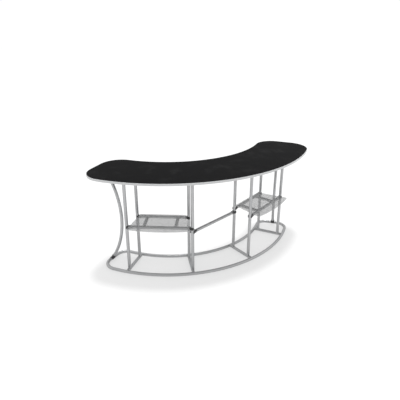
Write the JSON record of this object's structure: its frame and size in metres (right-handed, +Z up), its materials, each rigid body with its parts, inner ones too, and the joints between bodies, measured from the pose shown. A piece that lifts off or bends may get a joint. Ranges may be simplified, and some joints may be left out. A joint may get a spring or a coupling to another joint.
{
  "type": "service counter frame",
  "caption": "Curved free-standing counter: black top on an open frame of round tube with bowed ends, clear shelves and a diagonal brace held by claw clamps.",
  "frame": {"origin": "on the floor, under the middle of the whole plan", "axes": "+X along the counter's length to its right-hand end as the customer sees it from -Y, +Y from the customer side to the server's side, +Z up"},
  "size_m": [2.329, 0.9179, 1.016],
  "materials": {
    "top_laminate": "black laminate on board, fine matt texture",
    "edge_band": "light grey edging, satin",
    "tube_alloy": "satin anodised silver",
    "cast_alloy": "cast and tumbled",
    "black_nylon": "moulded glass-filled nylon",
    "shelf_panel": "frosted translucent grey",
    "screw_steel": "zinc plated",
    "button_steel": "bright"
  },
  "bodies": {
    "frame": {"base_cross_tubes": "tube_alloy", "base_ring_front": "tube_alloy", "base_ring_left_end": "tube_alloy", "base_ring_rear": "tube_alloy", "base_ring_right_end": "tube_alloy", "bow_saddles": "black_nylon", "counter_top": "top_laminate", "counter_top_edge": "edge_band", "front_upright_1": "tube_alloy", "front_upright_2": "tube_alloy", "front_upright_3": "tube_alloy", "front_upright_4": "tube_alloy", "left_bow": "tube_alloy", "rear_upright_1": "tube_alloy", "rear_upright_2": "tube_alloy", "rear_upright_3": "tube_alloy", "rear_upright_4": "tube_alloy", "right_bow": "tube_alloy", "ring_joiners": "cast_alloy", "top_cross_tubes": "tube_alloy", "top_ring_front": "tube_alloy", "top_ring_left_end": "tube_alloy", "top_ring_rear": "tube_alloy", "top_ring_right_end": "tube_alloy", "top_screws": "screw_steel"},
    "base_left_snap_button": {"base_left_snap_button": "button_steel"},
    "base_right_snap_button": {"base_right_snap_button": "button_steel"},
    "brace": {"brace_bar": "tube_alloy", "brace_clamp_cores": "cast_alloy", "brace_clamp_screws": "screw_steel", "brace_fixed_jaws": "black_nylon"},
    "brace_front_jaw": {"brace_front_jaw": "black_nylon"},
    "brace_rear_jaw": {"brace_rear_jaw": "black_nylon"},
    "left_shelf": {"left_shelf_clamp_cores": "cast_alloy", "left_shelf_clamp_screws": "screw_steel", "left_shelf_cross_bars": "tube_alloy", "left_shelf_fixed_jaws": "black_nylon", "left_shelf_front_bar": "tube_alloy", "left_shelf_panel": "shelf_panel", "left_shelf_rear_bar": "tube_alloy"},
    "left_shelf_front_left_jaw": {"left_shelf_front_left_jaw": "black_nylon"},
    "left_shelf_front_right_jaw": {"left_shelf_front_right_jaw": "black_nylon"},
    "left_shelf_rear_left_jaw": {"left_shelf_rear_left_jaw": "black_nylon"},
    "left_shelf_rear_right_jaw": {"left_shelf_rear_right_jaw": "black_nylon"},
    "right_shelf": {"right_shelf_clamp_cores": "cast_alloy", "right_shelf_clamp_screws": "screw_steel", "right_shelf_cross_bars": "tube_alloy", "right_shelf_fixed_jaws": "black_nylon", "right_shelf_front_bar": "tube_alloy", "right_shelf_panel": "shelf_panel", "right_shelf_rear_bar": "tube_alloy"},
    "right_shelf_front_left_jaw": {"right_shelf_front_left_jaw": "black_nylon"},
    "right_shelf_front_right_jaw": {"right_shelf_front_right_jaw": "black_nylon"},
    "right_shelf_rear_left_jaw": {"right_shelf_rear_left_jaw": "black_nylon"},
    "right_shelf_rear_right_jaw": {"right_shelf_rear_right_jaw": "black_nylon"},
    "top_left_snap_button": {"top_left_snap_button": "button_steel"},
    "top_right_snap_button": {"top_right_snap_button": "button_steel"}
  },
  "joints": [
    {"name": "left_shelf_height", "type": "slide", "parent": "frame", "child": "left_shelf", "axis": [0, 0, 1], "range_m": [0, 0.4]},
    {"name": "right_shelf_height", "type": "slide", "parent": "frame", "child": "right_shelf", "axis": [0, 0, 1], "range_m": [0, 0.4]},
    {"name": "brace_height", "type": "slide", "parent": "frame", "child": "brace", "axis": [0, 0, 1], "range_m": [-0.36, 0]},
    {"name": "left_shelf_front_left_jaw_open", "type": "hinge", "parent": "left_shelf", "child": "left_shelf_front_left_jaw", "pos_m": [-0.82477, 0.07061, 0.473], "axis": [0, 0, -1], "range_deg": [0, 25]},
    {"name": "left_shelf_front_right_jaw_open", "type": "hinge", "parent": "left_shelf", "child": "left_shelf_front_right_jaw", "pos_m": [-0.34418, -0.19671, 0.473], "axis": [0, 0, -1], "range_deg": [0, 25]},
    {"name": "left_shelf_rear_left_jaw_open", "type": "hinge", "parent": "left_shelf", "child": "left_shelf_rear_left_jaw", "pos_m": [-0.67475, 0.24626, 0.473], "axis": [0, 0, -1], "range_deg": [0, 25]},
    {"name": "left_shelf_rear_right_jaw_open", "type": "hinge", "parent": "left_shelf", "child": "left_shelf_rear_right_jaw", "pos_m": [-0.29026, 0.02791, 0.473], "axis": [0, 0, -1], "range_deg": [0, 25]},
    {"name": "right_shelf_front_left_jaw_open", "type": "hinge", "parent": "right_shelf", "child": "right_shelf_front_left_jaw", "pos_m": [0.3351, -0.17889, 0.473], "axis": [0, 0, -1], "range_deg": [0, 25]},
    {"name": "right_shelf_front_right_jaw_open", "type": "hinge", "parent": "right_shelf", "child": "right_shelf_front_right_jaw", "pos_m": [0.83385, 0.05279, 0.473], "axis": [0, 0, -1], "range_deg": [0, 25]},
    {"name": "right_shelf_rear_left_jaw_open", "type": "hinge", "parent": "right_shelf", "child": "right_shelf_rear_left_jaw", "pos_m": [0.28118, 0.04573, 0.473], "axis": [0, 0, -1], "range_deg": [0, 25]},
    {"name": "right_shelf_rear_right_jaw_open", "type": "hinge", "parent": "right_shelf", "child": "right_shelf_rear_right_jaw", "pos_m": [0.68383, 0.22844, 0.473], "axis": [0, 0, -1], "range_deg": [0, 25]},
    {"name": "brace_front_jaw_open", "type": "hinge", "parent": "brace", "child": "brace_front_jaw", "pos_m": [-0.28091, -0.18139, 0.436], "axis": [0, 0, -1], "range_deg": [0, 25]},
    {"name": "brace_rear_jaw_open", "type": "hinge", "parent": "brace", "child": "brace_rear_jaw", "pos_m": [0.22699, -0.00073, 0.436], "axis": [0, 0, -1], "range_deg": [0, 25]},
    {"name": "base_left_button_press", "type": "slide", "parent": "frame", "child": "base_left_snap_button", "axis": [0.7173, 0.6968, 0], "range_m": [-0.005, 0], "stiffness_N_per_m": 800, "springref_m": 0.003},
    {"name": "base_right_button_press", "type": "slide", "parent": "frame", "child": "base_right_snap_button", "axis": [-0.7173, 0.6968, 0], "range_m": [-0.005, 0], "stiffness_N_per_m": 800, "springref_m": 0.003},
    {"name": "top_left_button_press", "type": "slide", "parent": "frame", "child": "top_left_snap_button", "axis": [0.7173, 0.6968, 0], "range_m": [-0.005, 0], "stiffness_N_per_m": 800, "springref_m": 0.003},
    {"name": "top_right_button_press", "type": "slide", "parent": "frame", "child": "top_right_snap_button", "axis": [-0.7173, 0.6968, 0], "range_m": [-0.005, 0], "stiffness_N_per_m": 800, "springref_m": 0.003}
  ]
}
